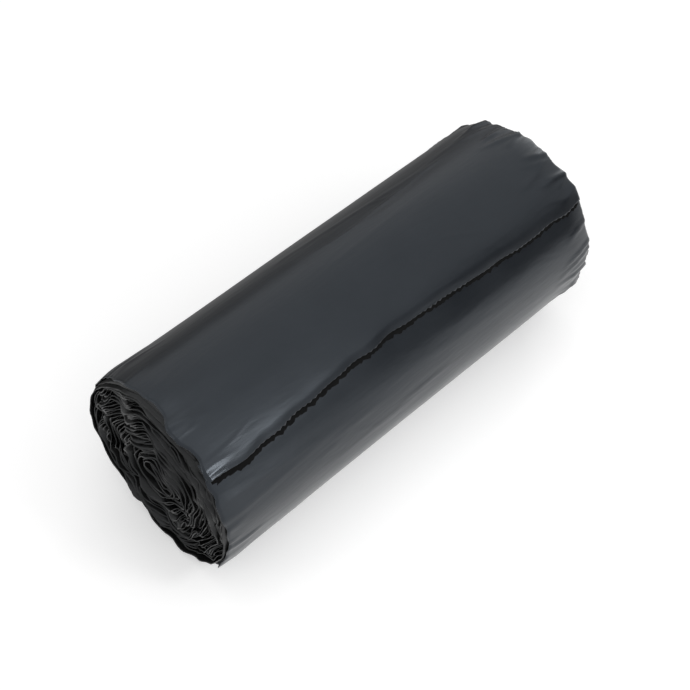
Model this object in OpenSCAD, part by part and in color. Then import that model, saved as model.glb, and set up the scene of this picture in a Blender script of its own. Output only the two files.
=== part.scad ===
// A roll of bin bags: one continuous web of flat bags, folded into three
// panels across its width and wound on itself without a core.
// The roll lies along X on the flat spot that its own weight presses in.

/* [Roll] */
// Diameter of the roll under its loose end
roll_d = 78; // [60:1:100]
// Width of the folded web, which is the length of the roll
web_w = 204; // [120:1:320]
// Turns of the web from the eye to the outside
turns = 16; // [8:1:20]
// Free space between one turn and the next
turn_gap = 0.35; // [0.3:0.05:0.6]

/* [Folds] */
// How far the crest of a fold stands out past its two panels
fold_crest = 0.8; // [0.3:0.1:1.5]
// How far the third panel's free edge lies inside the crest
edge_step = 1.8; // [0.8:0.1:3]
// How far the turns have slid past each other along the roll
telescope = 1.4; // [0:0.1:3]
// How far the outermost turns are drawn in at both ends of the roll
end_draw = 1; // [0:0.5:6]

/* [Eye] */
// Long width of the open eye that the winding blade left
eye_w = 9; // [6:0.5:20]
// Short width of the eye
eye_h = 6; // [3:0.5:6]
// Tilt of the eye's long width from the ground
eye_tilt = 35; // [0:5:90]

/* [Loose end] */
// Where the web ends on the roll, as an angle from +Y over the top
end_angle = 135; // [90:1:170]
// Thickness of the web at its loose end, where the plies lie flat
end_t = 0.9; // [0.6:0.1:1.2]
// Length of web over which it thins towards the loose end
end_taper = 16; // [5:1:40]
// How far the loose end runs out of square across the roll
end_skew = 3; // [0:0.5:5]

/* [Rest] */
// Width of the flat spot on which the roll lies
flat_w = 21; // [12:1:28]
// How far the soft roll is out of round elsewhere
slack = 0.5; // [0:0.1:1]

/* [Hidden] */
film = [0.17, 0.175, 0.19];
panels = 3;
roll_r = roll_d / 2;
eye_r = eye_h / 2;
eye_stretch = (eye_w - eye_h) / 2;
pitch = (roll_r - eye_r) / turns;
web_t = pitch - turn_gap;
wound = 360 * turns;
start_angle = end_angle - wound;
skew_angle = atan2(end_skew, roll_r);
skew_reach = 180;
straight_down = 270;
flat_share = cos(asin(flat_w / 2 / roll_r));
taper_angle = end_taper / roll_r * 180 / PI;
// Every turn has its corners at the same angles, so that the gap between turns stays even
steps_per_turn = 36;
steps = steps_per_turn * turns;
// Pairs of waves, each as [waves per turn, phase]: the first two are out of step with the turns and
// set how far each turn has slid or is drawn in, and the third puts every turn out of round alike
slide_waves = [[0.37, 0], [1.13, 40]];
draw_waves = [[0.43, 0], [1.31, 40]];
round_waves = [[3, 20], [5, 80]];
// How sharply the ends of the roll round off towards the outermost turns
draw_power = 6;

function ramp(t) = max(0, min(1, t));

// Winding angle at step i, 0 at the eye and wound at the loose end
function winding(i) = i * 360 / steps_per_turn;

// Distance of the web's inner face from the middle of the roll
function spiral_r(w) = eye_r + pitch * w / 360;

// Thickness of the web with the air between its plies, which thins over its last stretch
function thickness(w) =
    end_t + (web_t - end_t) * ramp((wound - w) / taper_angle);

// Sum of a pair of waves at an angle, from -1 to 1
function waves(angle, pair) =
    (sin(pair[0][0] * angle + pair[0][1]) + sin(pair[1][0] * angle + pair[1][1])) / 2;

// Slide of a turn along the roll, and how far both its ends are drawn in
function slid(w) = telescope * waves(w, slide_waves);
function drawn(w) =
    end_draw * pow(spiral_r(w) / roll_r, draw_power)
    + telescope * (1 + waves(w, draw_waves)) / 2;

// One end of the web's section, as [distance in from the end, share of the thickness], from its
// inner face to its outer one: the fold that joins two panels, then the free edge of the third
folded_edge = [[fold_crest, 0], [0, 1 / panels], [fold_crest, 2 / panels], [edge_step, 1]];

// Whole section at winding angle w, as [x, share]: the far end is the near end turned round,
// because the panels fold to and fro
function section(w) = concat(
    [for (p = folded_edge) [slid(w) - web_w / 2 + drawn(w) + p[0], p[1]]],
    [for (p = folded_edge) [slid(w) + web_w / 2 - drawn(w) - p[0], 1 - p[1]]]
);

// Point of a turn of radius r at angle a: an oval that keeps the eye's stretch, a little out of round
function around(r, a) =
    let (
        b = a - eye_tilt,
        u = (r + eye_stretch) * cos(b),
        v = r * sin(b),
        bulge = 1 + slack * waves(a, round_waves) / roll_r
    )
    bulge * [u * cos(eye_tilt) - v * sin(eye_tilt), u * sin(eye_tilt) + v * cos(eye_tilt)];

// The same point on the lying roll: below the flat level of its own turn it is pressed up to it.
// The level follows the radius that the turn has straight below the eye.
function pressed(r, a) =
    let (
        past_down = a - straight_down - 360 * round((a - straight_down) / 360),
        level = flat_share * around(r - pitch * past_down / 360, straight_down)[1],
        p = around(r, a)
    )
    [p[0], max(p[1], level)];

// Point of the web at winding angle w, at x across its width and at a share of its thickness;
// the last half turn is skewed, so that the loose end runs out of square
function web_point(w, x, share) =
    let (
        skewed = w + skew_angle * x / web_w * pow(ramp(1 - (wound - w) / skew_reach), 2),
        p = pressed(spiral_r(skewed) + share * thickness(w), start_angle + skewed)
    )
    [x, p[0], p[1]];

corners = 2 * len(folded_edge);
web_points = [
    for (i = [0:steps])
        let (w = winding(i))
        for (p = section(w)) web_point(w, p[0], p[1])
];
cap_points = [for (w = [0, wound]) web_point(w, 0, 0.5)];
points = concat(web_points, cap_points);

function corner(i, k) = i * corners + k % corners;
side_faces = [
    for (i = [0:steps - 1], k = [0:corners - 1])
        each [
            [corner(i, k), corner(i + 1, k + 1), corner(i + 1, k)],
            [corner(i, k), corner(i, k + 1), corner(i + 1, k + 1)]
        ]
];
cap_faces = [
    for (k = [0:corners - 1])
        each [
            [len(web_points), corner(0, k + 1), corner(0, k)],
            [len(web_points) + 1, corner(steps, k), corner(steps, k + 1)]
        ]
];

// Middle of the roll's foot, which is brought to the origin
function middle(v) = (min(v) + max(v)) / 2;
foot = [
    middle([for (p = points) p[0]]),
    middle([for (p = points) p[1]]),
    min([for (p = points) p[2]])
];

// The wound web, in one piece from the eye to the loose end
module bag_roll()
    color(film)
        translate(-foot)
            polyhedron(points, concat(side_faces, cap_faces), convexity = 2 * turns);

bag_roll();
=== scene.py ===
"""A roll of black bin bags, lying on its side on a pale floor. All sizes are in metres."""

import math

import bmesh
import bpy
import numpy as np
from mathutils import Matrix, Vector


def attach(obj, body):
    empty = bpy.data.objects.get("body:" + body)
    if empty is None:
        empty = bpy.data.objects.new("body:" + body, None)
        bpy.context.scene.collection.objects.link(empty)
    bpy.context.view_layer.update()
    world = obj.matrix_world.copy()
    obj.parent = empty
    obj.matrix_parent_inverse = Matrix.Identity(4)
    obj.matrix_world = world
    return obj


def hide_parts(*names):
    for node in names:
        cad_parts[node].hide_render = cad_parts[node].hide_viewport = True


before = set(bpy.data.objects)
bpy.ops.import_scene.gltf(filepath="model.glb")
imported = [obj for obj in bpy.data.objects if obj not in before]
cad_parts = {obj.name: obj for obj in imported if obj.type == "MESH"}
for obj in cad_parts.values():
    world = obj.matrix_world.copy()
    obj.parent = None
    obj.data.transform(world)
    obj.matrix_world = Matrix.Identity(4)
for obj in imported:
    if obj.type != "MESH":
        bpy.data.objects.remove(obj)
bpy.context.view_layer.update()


# The wound web: flat bags of thin black film, joined end to end, folded in three across their width
# and wound on themselves. The blade that it was wound on is drawn out, so there is an eye and no core.

web_width = 0.204
roll_radius = 0.0402
turn_pitch = 0.001125
turns = 32
eye_stretch = 0.0015
eye_tilt = math.radians(35)
end_angle = math.radians(135)
flat_width = 0.021
slack = 0.0005
telescope = 0.0014
end_draw = 0.0010
draw_power = 6
edge_step = 0.0018
film_thickness = 0.00017

full_turn = 2 * math.pi
straight_down = -math.pi / 2
wound = full_turn * turns
flat_share = math.cos(math.asin(flat_width / 2 / roll_radius))

# Pairs of waves, each as waves per turn of the solid roll and phase in degrees
round_waves = ((3, 20), (5, 80))
slide_waves = ((0.37, 0), (1.13, 40))
draw_waves = ((0.43, 0), (1.31, 40))

# The rims sink in, and there is a dent low on the near end
sink_from = 0.015
sink_run = 0.025
rim_sink = 0.0014
rim_reach = 0.011
dent_place = math.radians(-62)
dent_depth = 0.0034
dent_half_angle = 0.32
dent_edge = -0.072
dent_reach = 0.028


def waves(angle, pair):
    """Sum of a pair of waves at an angle, from -1 to 1."""
    return sum(np.sin(rate * angle + math.radians(phase)) for rate, phase in pair) / 2


def ripples(seed, u, v, length_u, length_v, count=9):
    """A smooth random field of about unit size over u and v, with about these wavelengths."""
    rng = np.random.default_rng(seed)
    field = 0
    for _ in range(count):
        heading = rng.uniform(0, full_turn)
        pace = rng.uniform(0.6, 1.5)
        rate_u = full_turn * pace * math.cos(heading) / length_u
        rate_v = full_turn * pace * math.sin(heading) / length_v
        field = field + np.sin(rate_u * u + rate_v * v + rng.uniform(0, full_turn))
    return field / math.sqrt(count)


def around(radius, angle):
    """Point of a turn in the roll's section: an oval that keeps the eye's stretch, a little out of round."""
    turned = angle - eye_tilt
    u = (radius + eye_stretch) * np.cos(turned)
    v = radius * np.sin(turned)
    bulge = 1 + slack * waves(angle, round_waves) / roll_radius
    y = bulge * (u * math.cos(eye_tilt) - v * math.sin(eye_tilt))
    z = bulge * (u * math.sin(eye_tilt) + v * math.cos(eye_tilt))
    return y, z


def angle_from(place, angle):
    """Angle from a place round the roll, the short way."""
    return np.angle(np.exp(1j * (angle - place)))


def pressed(radius, angle):
    """The same point on the lying roll, where each turn is pressed flat on its underside."""
    past_down = angle - straight_down
    past_down = past_down - full_turn * np.round(past_down / full_turn)
    radius_below = radius - turn_pitch * past_down / full_turn
    level = flat_share * around(radius_below, np.full_like(angle, straight_down))[1]
    y, z = around(radius, angle)
    return y, np.maximum(z, level)


def outside_radius(back):
    """Radius of the outermost film, at an angle back from the loose end."""
    return roll_radius - turn_pitch * back / full_turn


down_back = end_angle - straight_down
underside = pressed(outside_radius(np.array([down_back])), np.array([straight_down]))[1][0]
eye_middle = Vector((0, 0, -underside))


def drawn_in(radius):
    """How far both ends of a turn of this radius are drawn in."""
    return end_draw * (radius / roll_radius) ** draw_power


def sunk(x, radius, angle, from_end):
    """How far the film sinks towards the eye: at both rims, and in a dent low on the near end."""
    outer_share = np.clip((radius - sink_from) / sink_run, 0, 1)
    rim = rim_sink * np.clip(1 - from_end / rim_reach, 0, 1) ** 2
    dent = dent_depth * np.exp(-((angle_from(dent_place, angle) / dent_half_angle) ** 2))
    dent = dent * np.clip((dent_edge - x) / dent_reach, 0, 1) ** 2
    return outer_share * (rim + dent)


def film_grid(rows, columns):
    """A flat grid of film, with how far along it each corner lies, from 0 to 1, and its column."""
    sheet = bmesh.new()
    bmesh.ops.create_grid(sheet, x_segments=rows - 1, y_segments=columns - 1, size=1)
    flat = (np.array([vertex.co for vertex in sheet.verts]) + 1) / 2
    return sheet, flat[:, 0], np.rint(flat[:, 1] * (columns - 1)).astype(int)


def film_piece(name, sheet, x, y, z, thickness=film_thickness):
    """Object of film from a grid, with its corners at x, y and z from the middle of the eye."""
    for vertex, place in zip(sheet.verts, zip(x, y, z)):
        vertex.co = Vector(place) + eye_middle
    for face in sheet.faces:
        face.smooth = True
    mesh = bpy.data.meshes.new(name)
    sheet.to_mesh(mesh)
    sheet.free()
    piece = bpy.data.objects.new(name, mesh)
    bpy.context.scene.collection.objects.link(piece)
    wall = piece.modifiers.new("film", "SOLIDIFY")
    wall.thickness = thickness
    wall.offset = 0
    return piece


# Stations across the folded web, each as the end of the roll, the distance in from it and the level
# within the turn: the first panel's free edge, a fold at each end, and the last panel's free edge.
panel_levels = (0.14, 0.48, 0.82)
fold_reach = 0.014
free_edge = (edge_step, edge_step + 0.003, fold_reach)
fold_bend = (
    (fold_reach, 0),
    (0.0035, 0),
    (0.0005, 0.04),
    (0, 0.17),
    (0.0005, 0.30),
    (0.0035, 0.34),
    (fold_reach, 0.34),
)
stations = [(1, inward, panel_levels[0]) for inward in free_edge]
for end, panel_level in ((-1, panel_levels[0]), (1, panel_levels[1])):
    stations += [(end, inward, panel_level + rise) for inward, rise in fold_bend]
stations += [(-1, inward, panel_levels[2]) for inward in reversed(free_edge)]

web_rows = 2400
web, along, station = film_grid(web_rows, len(stations))
side, inward, level = (np.array(column)[station] for column in zip(*stations))

# The grid's rows crowd together towards the eye, where the web bends more sharply
eye_crowding = 0.006
start_radius = outside_radius(wound)
start_square = (start_radius + eye_crowding) ** 2
outside_square = (roll_radius + eye_crowding) ** 2
radius = np.sqrt(start_square + along * (outside_square - start_square)) - eye_crowding
winding = (radius - start_radius) / turn_pitch * full_turn
angle = end_angle + winding - wound
arc = radius * winding / 2
across_y = radius * np.cos(angle)
across_z = radius * np.sin(angle)

# How far inside the outermost turns a place is, and how near an end of the roll. The two ends lie
# apart in each random field, and the fields' seeds and wavelengths are given.
inside_depth = 0.005
end_zone = 0.012
inside_share = np.clip((roll_radius - radius) / inside_depth, 0, 1)
near_end = np.clip(1 - inward / end_zone, 0, 1)
ends_apart = side * 0.3

# In and out along the roll, the turns' ends are uneven and ragged, the outermost ones least
outer_ragged = 0.35
relief_height = 0.0009
uneven_height = 0.0005
crinkle_height = 0.00045
pit_depth = 0.004
pit_start = 1.15
pit_span = 0.8
slide = telescope * waves(winding / 2, slide_waves)
draw = drawn_in(radius) + telescope * (1 + waves(winding / 2, draw_waves)) / 2
relief = relief_height * ripples(3, across_y + ends_apart, across_z, 0.013, 0.013, 14)
uneven = uneven_height * ripples(4, winding, side * 40.0, 7.0, 30.0)
crinkle = crinkle_height * ripples(5, arc, side * 9.0, 0.009, 3.0)
pits = ripples(6, arc, side * 5.0 + radius * 900, 0.014, 2.6, 12)
pits = -pit_depth * np.clip(pits - pit_start, 0, pit_span)
ragged = near_end * (outer_ragged + (1 - outer_ragged) * inside_share)
ragged = ragged * (relief + uneven + crinkle + pits)
x = side * (web_width / 2 - draw - inward + ragged) + slide

# In and out from the eye, they bunch together, wave, lean over and flutter
bunch_height = 0.00030
bunch_pitch = 0.0046
bunch_sway = 1.5
bunch_phase = 0.7
warp_height = 0.0007
lean_height = 0.0020
lean_reach = 0.007
flutter_height = 0.00012
sway = bunch_sway * np.sin(angle + bunch_phase)
bunching = bunch_height * np.sin(full_turn * radius / bunch_pitch + sway)
warp = near_end * warp_height * ripples(8, across_y, across_z + ends_apart, 0.017, 0.017, 12)
lean = lean_height * np.clip(1 - inward / lean_reach, 0, 1) ** 1.5
lean = lean * ripples(9, across_y, across_z + ends_apart, 0.020, 0.020, 12)
flutter = near_end * flutter_height * ripples(7, arc, side * 5.0 + level * 3, 0.008, 2.0)

# As shares of the pitch, how deep in its turn a panel may lie, and over how much the panels spread.
# Over its last run the web draws back, so that it ends short of the loose end.
panel_depth = 0.95
panel_spread = 0.80
web_ends_back = 0.010
last_run = 0.030
turn_radius = (
    radius
    - turn_pitch * panel_depth
    + turn_pitch * panel_spread * level
    + (bunching + warp + lean) * inside_share
    + flutter
    - sunk(x, radius, angle, inward)
)
last_bit = np.clip(1 - (wound - winding) * radius / last_run, 0, 1)
angle = angle - last_bit * web_ends_back / roll_radius
y, z = pressed(turn_radius, angle)
wound_web = film_piece("wound_web", web, x, y, z)


def film_material(name, dark, light, cast, gloss, roughness, sheen):
    """Thin black film: its colour and shine drift a little, and fine wrinkles run along the roll."""
    film = bpy.data.materials.new(name)
    film.use_nodes = True
    nodes, links = film.node_tree.nodes, film.node_tree.links
    finish = nodes["Principled BSDF"]
    finish.inputs["IOR"].default_value = 1.5
    finish.inputs["Specular IOR Level"].default_value = gloss
    finish.inputs["Specular Tint"].default_value = (*cast, 1)
    finish.inputs["Sheen Weight"].default_value = sheen
    finish.inputs["Sheen Roughness"].default_value = 0.4
    place = nodes.new("ShaderNodeTexCoord")
    drift = nodes.new("ShaderNodeTexNoise")
    drift.inputs["Scale"].default_value = 45
    drift.inputs["Detail"].default_value = 3
    links.new(place.outputs["Object"], drift.inputs["Vector"])
    shine = nodes.new("ShaderNodeMapRange")
    shine.inputs["To Min"].default_value = roughness[0]
    shine.inputs["To Max"].default_value = roughness[1]
    links.new(drift.outputs["Fac"], shine.inputs["Value"])
    links.new(shine.outputs[0], finish.inputs["Roughness"])
    tone = nodes.new("ShaderNodeMix")
    tone.data_type = "RGBA"
    tone.inputs["A"].default_value = (*dark, 1)
    tone.inputs["B"].default_value = (*light, 1)
    links.new(drift.outputs["Fac"], tone.inputs["Factor"])
    links.new(tone.outputs["Result"], finish.inputs["Base Color"])
    along_roll = nodes.new("ShaderNodeMapping")
    along_roll.inputs["Scale"].default_value = (0.2, 1, 1)
    links.new(place.outputs["Object"], along_roll.inputs["Vector"])
    wrinkles = nodes.new("ShaderNodeTexNoise")
    wrinkles.inputs["Scale"].default_value = 420
    wrinkles.inputs["Detail"].default_value = 4
    links.new(along_roll.outputs["Vector"], wrinkles.inputs["Vector"])
    relief = nodes.new("ShaderNodeBump")
    relief.inputs["Strength"].default_value = 0.35
    relief.inputs["Distance"].default_value = 0.0003
    links.new(wrinkles.outputs["Fac"], relief.inputs["Height"])
    links.new(relief.outputs["Normal"], finish.inputs["Normal"])
    return film


# The wound film's low shine tint is painted shade: it darkens the crumpled ends, in place of the shade deep
# between their folds.
web_dark = (0.0030, 0.0032, 0.0034)
web_light = (0.0062, 0.0060, 0.0056)
web_cast_painted_shade = (0.62, 0.64, 0.66)
satin = (0.27, 0.43)
web_film = film_material(
    "wound_film", web_dark, web_light, web_cast_painted_shade, gloss=0.5, roughness=satin, sheen=0
)
wound_web.data.materials.append(web_film)
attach(wound_web, "root")
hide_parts("bag_roll")


# The outer film: the top ply of the last turn, from where it goes under the loose end to the loose
# end itself. It is slack, so it stands off the roll in long creases. Its end swells up before it
# turns in, it is torn off at a line of holes, and its near corner stands up.

outer_turn = math.radians(372)
outer_rows = 300
row_crowding = 1.3
edge_inset = edge_step + 0.0006
half_length = web_width / 2 - end_draw - telescope / 2

# Columns across the film: at its far end it folds under, each column of that fold as the distance
# in from the end and how far under
plain_columns = 149
fold_start = 0.0012
fold_under = (
    (0.0004, 0.00003),
    (0, 0.00018),
    (0.0004, 0.00032),
    (fold_start, 0.00035),
    (0.003, 0.00035),
    (0.006, 0.00035),
    (0.010, 0.00035),
)
fold_inward, fold_drop = np.array(fold_under).T
plain_x = np.linspace(-half_length + edge_inset, half_length - fold_start, plain_columns)
column_x = np.concatenate((plain_x, half_length - fold_inward))
column_drop = np.concatenate((np.zeros(plain_columns), fold_drop))

outer, along, column = film_grid(outer_rows, len(column_x))
x = column_x[column]
folded_under = column_drop[column]
back = outer_turn * (1 - along) ** row_crowding
to_loose = back * roll_radius
arc = -to_loose
from_end = half_length - np.abs(x)
from_near = x + half_length

# The line of holes along the loose end, what grows towards the near end, and the torn near corner
line_wave = 0.0021
line_wave_length = 0.19
line_wave_start = 0.033
line_back = 0.0024
line_drift = 0.0003
growth_start = 0.072
growth_length = 0.160
stretch_start = -0.080
stretch_length = 0.020
corner_tear = 0.0022


def end_line(x):
    """How far the wavy line of holes runs on past the end angle, below 0 where it stops short of it."""
    wave = line_wave * np.sin(full_turn * (x - line_wave_start) / line_wave_length) - line_back
    return wave + line_drift * ripples(15, x, x, 0.03, 0.03, 5)


def near_share(x):
    """How near a place is to the near end, from 0 past the middle to 1, for what grows towards it."""
    return np.clip((growth_start - x) / growth_length, 0, 1)


def last_stretch(x):
    """How far into the last 20 mm before the near end a place is, from 0 to 1."""
    return np.clip((stretch_start - x) / stretch_length, 0, 1)


def torn_back(x):
    """How far the loose end is torn back at its near corner."""
    return corner_tear * last_stretch(x) ** 2


def crease_field(seed, count, places, sizes):
    """Sum of straight creases: each a tent with a sharp crest that fades out at both ends."""
    rng = np.random.default_rng(seed)
    height = np.zeros_like(arc)
    for _ in range(count):
        middle_arc, middle_x, turn = (rng.uniform(*span) for span in places)
        length, width, rise = (rng.uniform(*span) for span in sizes)
        cosine, sine = math.cos(turn), math.sin(turn)
        lengthwise = (x - middle_x) * cosine + (arc - middle_arc) * sine
        sideways = (arc - middle_arc) * cosine - (x - middle_x) * sine
        window = np.clip(1 - (2 * lengthwise / length) ** 2, 0, 1)
        tent = np.clip(1 - np.abs(sideways) / width, 0, 1) ** 1.6
        height = height + rise * window * tent
    return height


# Creases: spans of their middles round and along the roll and of their turn from its length, and
# spans of their length, half width and height
all_round = (-outer_turn * roll_radius, 0)
all_along = (-0.1, 0.1)
long_creases = ((0.03, 0.15), (0.0018, 0.004), (0.00008, 0.00030))
short_creases = ((0.008, 0.03), (0.001, 0.002), (0.00004, 0.00015))
near_gathers = ((0.016, 0.050), (0.0012, 0.0032), (0.00015, 0.00065))
far_gathers = ((0.014, 0.040), (0.0012, 0.0030), (0.00025, 0.00100))
creases = (
    crease_field(11, 30, (all_round, all_along, (-0.12, 0.12)), long_creases)
    + crease_field(12, 60, (all_round, all_along, (-0.9, 0.9)), short_creases)
    + crease_field(18, 46, (all_round, (-0.102, -0.092), (-0.25, 0.25)), near_gathers)
    + crease_field(19, 80, (all_round, (0.094, 0.103), (-0.35, 0.35)), far_gathers)
)

# The film stands off the roll, but is held down where it goes under the loose end. Near that end
# it is free of the roll below it, and less creased.
billow_height = 0.00020
step_hold = 0.9
step_reach = 0.006
free_share = 0.8
free_reach = 0.015
less_creased = 0.8
billow = billow_height * (1 + np.clip(ripples(14, arc, x, 0.030, 0.16), -1, 1.5))
to_step = to_loose - full_turn * roll_radius
held_down = 1 - step_hold * np.exp(-((to_step / step_reach) ** 2))
free = free_share * np.exp(-((to_loose / free_reach) ** 2))
stand_off = held_down * ((1 - less_creased * free) * creases + billow)

# The loose end swells up, most of all towards the near end, and turns in
swell_least = 0.0002
swell_near = 0.0005
swell_drift = 0.0001
swell_reach = 0.013
turn_in_reach = 0.0045
turn_in_drop = 0.0005
swell = swell_least + swell_near * near_share(x) + swell_drift * ripples(17, x, x, 0.05, 0.05, 5)
swell = swell * np.exp(-((to_loose / swell_reach) ** 2))
turn_in = np.sin(np.clip(to_loose / turn_in_reach, 0, 1) * math.pi / 2)

# Its near corner stands up instead, and is pulled taut
corner_width = 0.026
corner_reach = 0.010
corner_height = 0.0012
taut_width = 0.0169
taut_fade = 0.013
taut_reach = 0.007
at_corner = np.clip(1 - from_near / corner_width, 0, 1)
turned_down = turn_in_drop * (1 - at_corner)
corner_rise = corner_height * at_corner * np.clip(1 - to_loose / corner_reach, 0, 1) ** 2
taut = np.clip((taut_width - from_near) / taut_fade, 0, 1)
taut = taut * np.exp(-((to_loose / taut_reach) ** 4))

# It ends at the line of holes, every other column a little further on as a tooth
shift_reach = 0.020
tooth_length = 0.0003
near_loose = np.clip(1 - to_loose / shift_reach, 0, 1)
teeth = tooth_length * (column % 2) * (1 + ripples(16, x, x, 0.02, 0.02, 4)) * (back == 0)
edge_shift = near_loose * (end_line(x) - torn_back(x)) + teeth

# Both rims are wavy, and the near one sticks out in flares, each as its place round the roll in
# degrees, its reach, its half angle and how square it is
rim_zone = 0.02
rim_wave_height = 0.0006
rim_ruffle_height = 0.0004
near_rim = np.clip(1 - from_end / rim_zone, 0, 1)
rim_wave = rim_wave_height * ripples(20, arc, np.sign(x), 0.022, 5.0)
rim_ruffle = rim_ruffle_height * ripples(21, arc, np.sign(x), 0.007, 5.0)
rim_wave = near_rim * (rim_wave + rim_ruffle)
flares = ((172, 0.0042, 0.95, 4), (203, 0.0034, 0.20, 2), (106, 0.0040, 0.18, 2))
flare = 0
for place, reach, half_angle, power in flares:
    off_place = np.abs(angle_from(math.radians(place), end_angle - back)) / half_angle
    flare = flare + reach * np.exp(-(off_place ** power))
rim_x = x + np.sign(x) * rim_wave - flare * last_stretch(x)

angle = end_angle - back + edge_shift / roll_radius
radius = outside_radius(back) + turn_in * stand_off + swell - turned_down * (1 - turn_in)
radius = radius + corner_rise - folded_under
radius = radius - (1 - free) * sunk(x, outside_radius(back), angle, from_end)
y, z = pressed(radius, angle)
z = np.maximum(z + eye_middle.z, film_thickness / 2) - eye_middle.z
outer_film = film_piece("outer_film", outer, rim_x, y, z)
outer_film.data.attributes.new("taut", "FLOAT", "POINT").data.foreach_set("value", taut)

# The blue tint of the outer film's colours and shine is painted light: it stands in for bluish light in its
# reflection, and the film's own black is neutral.
outer_dark = (0.0012, 0.0022, 0.0040)
outer_light = (0.0064, 0.0080, 0.0106)
outer_cast_blue_light = (0.71, 0.79, 0.88)
smooth_film = film_material(
    "outer_film", outer_dark, outer_light, outer_cast_blue_light, gloss=0.5, roughness=satin, sheen=0.2
)

# Where the standing corner pulls the film taut, it is smoother and shines more
nodes, links = smooth_film.node_tree.nodes, smooth_film.node_tree.links
finish = nodes["Principled BSDF"]
pulled = nodes.new("ShaderNodeAttribute")
pulled.attribute_name = "taut"
smoother = nodes.new("ShaderNodeMix")
smoother.inputs["B"].default_value = 0.20
links.new(pulled.outputs["Fac"], smoother.inputs["Factor"])
links.new(finish.inputs["Roughness"].links[0].from_socket, smoother.inputs["A"])
links.new(smoother.outputs["Result"], finish.inputs["Roughness"])
outer_film.data.materials.append(smooth_film)
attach(outer_film, "root")
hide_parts("bag_roll")


# The plies under the loose end: the other layers of the last bag, torn off at the same line of holes.
# Their low gloss is painted shade, standing in for the shadow along the lifted loose end. They run
# on a little past the outer film, each to its own ragged edge, and lie close on the roll.

# Each ply as how far it runs on past the outer film, and how deep it lies at its edge and where it
# is held, further in
under_plies = (
    (0.0013, 0.00077, 0.00055),
    (0.0008, 0.00086, 0.00052),
    (0.0002, 0.00092, 0.00050),
)
ply_columns = 190
ply_rows = 26
ply_row_crowding = 1.5
ply_length = 0.014
ply_inset = 0.0010
ply_step = 0.0005
ply_near_run = 0.0010
ply_ragged = 0.0004
ply_crumple = 0.00008
ply_thickness = film_thickness * 0.6
held_length = 0.008
torn_share = 1 / 3
sunk_share = 0.7
plies = bmesh.new()
for number, (run_on, edge_depth, held_depth) in enumerate(under_plies):
    ply, along, column = film_grid(ply_rows, ply_columns)
    x = (column / (ply_columns - 1) * 2 - 1) * (half_length - ply_inset - ply_step * number)
    ragged = ply_ragged * ripples(30 + number, x, x, 0.006, 0.006, 7) + tooth_length * (column % 2)
    edge = end_line(x) - torn_share * torn_back(x) + run_on + ply_near_run * near_share(x) + ragged
    inside = (1 - along) ** ply_row_crowding * ply_length
    held = np.clip(inside / held_length, 0, 1)
    crumple = ply_crumple * ripples(40 + number, inside, x, 0.002, 0.005)
    depth = edge_depth - held * (edge_depth - held_depth)
    radius = outside_radius((inside - edge) / roll_radius) - depth + crumple
    angle = end_angle - (inside - edge) / roll_radius
    radius = radius - sunk_share * sunk(x, radius, angle, half_length - np.abs(x))
    y, z = pressed(radius, angle)
    for vertex, place in zip(ply.verts, zip(x, y, z)):
        vertex.co = place
    layer = bpy.data.meshes.new("layer")
    ply.to_mesh(layer)
    ply.free()
    plies.from_mesh(layer)
    bpy.data.meshes.remove(layer)
x, y, z = np.array([vertex.co for vertex in plies.verts]).T
loose_plies = film_piece("loose_plies", plies, x, y, z, ply_thickness)

dull = (0.75, 0.85)
# The low gloss here is painted shade: it makes the plies a dark line, for the shadow under the loose end.
torn_film_painted_shade = film_material(
    "torn_film_painted_shade", web_dark, web_light, web_cast_painted_shade, gloss=0.1, roughness=dull, sheen=0
)
loose_plies.data.materials.append(torn_film_painted_shade)
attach(loose_plies, "root")
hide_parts("bag_roll")


# The floor and the light: a wide pale floor under an even white sky, with six soft lamps, and with
# two dark cards, in front and behind, that only the film's shine shows.

floor_radius = 4
lamp_aim = Vector((0, 0, 0.04))


def seen_directly(nodes, links):
    """Socket that is 1 for rays that show the background itself, and 0 for those that only light things."""
    path = nodes.new("ShaderNodeLightPath")
    glossy = nodes.new("ShaderNodeMath")
    glossy.operation = "MAXIMUM"
    links.new(path.outputs["Is Camera Ray"], glossy.inputs[0])
    links.new(path.outputs["Is Glossy Ray"], glossy.inputs[1])
    clear = nodes.new("ShaderNodeMath")
    clear.operation = "MAXIMUM"
    links.new(glossy.outputs[0], clear.inputs[0])
    links.new(path.outputs["Is Transmission Ray"], clear.inputs[1])
    return clear.outputs[0]


floor = bmesh.new()
bmesh.ops.create_circle(floor, cap_ends=True, segments=96, radius=floor_radius)
floor_mesh = bpy.data.meshes.new("floor")
floor.to_mesh(floor_mesh)
floor.free()
floor_object = bpy.data.objects.new("floor", floor_mesh)
bpy.context.scene.collection.objects.link(floor_object)
pale = bpy.data.materials.new("pale_floor")
pale.use_nodes = True
nodes, links = pale.node_tree.nodes, pale.node_tree.links
matt = nodes["Principled BSDF"]
matt.inputs["Base Color"].default_value = (0.8, 0.8, 0.8, 1)
matt.inputs["Roughness"].default_value = 0.9
matt.inputs["Specular IOR Level"].default_value = 0
glow = nodes.new("ShaderNodeEmission")
scale = nodes.new("ShaderNodeMath")
scale.operation = "MULTIPLY"
scale.inputs[1].default_value = 0.3
links.new(seen_directly(nodes, links), scale.inputs[0])
links.new(scale.outputs[0], glow.inputs["Strength"])
both = nodes.new("ShaderNodeAddShader")
links.new(matt.outputs[0], both.inputs[0])
links.new(glow.outputs[0], both.inputs[1])
links.new(both.outputs[0], nodes["Material Output"].inputs["Surface"])
floor_mesh.materials.append(pale)

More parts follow.
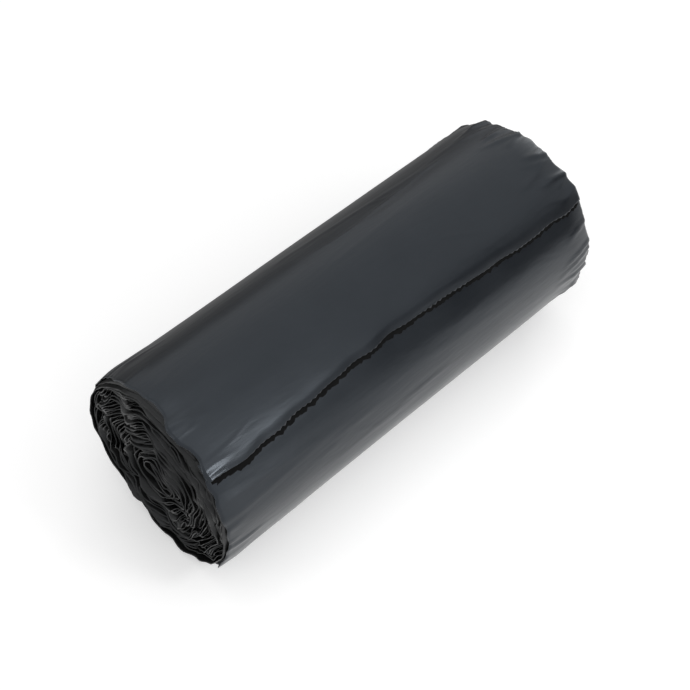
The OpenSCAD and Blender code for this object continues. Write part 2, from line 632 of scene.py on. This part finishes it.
world = bpy.data.worlds.new("white_sky")
bpy.context.scene.world = world
world.use_nodes = True
nodes, links = world.node_tree.nodes, world.node_tree.links
sky = nodes["Background"]
sky.inputs["Color"].default_value = (1, 1, 1, 1)
strength = nodes.new("ShaderNodeMapRange")
strength.inputs["To Min"].default_value = 0.85
strength.inputs["To Max"].default_value = 1.0
links.new(seen_directly(nodes, links), strength.inputs["Value"])
links.new(strength.outputs[0], sky.inputs["Strength"])


def soft_lamp(name, place, size, power):
    """A square area lamp that points at the roll."""
    light = bpy.data.lights.new(name, "AREA")
    light.size = size
    light.energy = power
    lamp = bpy.data.objects.new(name, light)
    lamp.location = place
    lamp.rotation_euler = (lamp_aim - lamp.location).to_track_quat("-Z", "Y").to_euler()
    lamp.visible_camera = False
    bpy.context.scene.collection.objects.link(lamp)


soft_lamp("front_lamp", (0, -0.185, 0.235), 0.06, 0.14)
soft_lamp("low_lamp", (-0.01, -0.31, 0.095), 0.08, 0.06)
soft_lamp("top_lamp", (-0.02, -0.10, 0.30), 0.12, 0.04)
soft_lamp("back_lamp", (-0.06, 0.06, 0.38), 0.15, 0.09)
soft_lamp("near_lamp", (-0.90, 0.40, 0.55), 0.3, 0.5)
soft_lamp("end_lamp", (0.60, 0.19, 0.22), 0.12, 0.3)


def dark_card(name, place, facing, width, height, grey):
    """A flat dark card that only shows in the film's shine."""
    card = bmesh.new()
    bmesh.ops.create_grid(card, x_segments=1, y_segments=1, size=0.5)
    mesh = bpy.data.meshes.new(name)
    card.to_mesh(mesh)
    card.free()
    board = bpy.data.objects.new(name, mesh)
    board.location = place
    board.scale = (width, height, 1)
    board.rotation_euler = (Vector(facing) - Vector(place)).to_track_quat("Z", "Y").to_euler()
    board.visible_camera = False
    board.visible_diffuse = False
    board.visible_shadow = False
    bpy.context.scene.collection.objects.link(board)
    paint = bpy.data.materials.new(name)
    paint.use_nodes = True
    nodes, links = paint.node_tree.nodes, paint.node_tree.links
    glow = nodes.new("ShaderNodeEmission")
    glow.inputs["Color"].default_value = (grey, grey, grey, 1)
    links.new(glow.outputs[0], nodes["Material Output"].inputs["Surface"])
    mesh.materials.append(paint)


dark_card("front_card", (0.33, -0.41, 0.26), (-0.05, -0.05, 0.06), 0.29, 0.44, 0.01)
dark_card("back_card", (0.04, 0.062, 0.044), (0.04, 0, 0.044), 0.30, 0.086, 0.06)


# The camera: it stands where the photograph was taken from, turned to the roll. Its place and aim
# are given from the middle of the eye.

camera_offset = Vector((-0.2729, -0.2207, 0.4763))
aim_offset = Vector((-0.0073, -0.0033, 0))
camera_turn = math.radians(7.66)
lens = bpy.data.cameras.new("camera")
lens.lens = 77.1
camera = bpy.data.objects.new("camera", lens)
camera.rotation_mode = "QUATERNION"
camera.location = eye_middle + camera_offset
sight = aim_offset - camera_offset
roll_turn = Matrix.Rotation(camera_turn, 4, "Z").to_quaternion()
camera.rotation_quaternion = sight.to_track_quat("-Z", "Y") @ roll_turn
bpy.context.scene.collection.objects.link(camera)
bpy.context.scene.camera = camera
bpy.context.scene.view_settings.view_transform = "Standard"
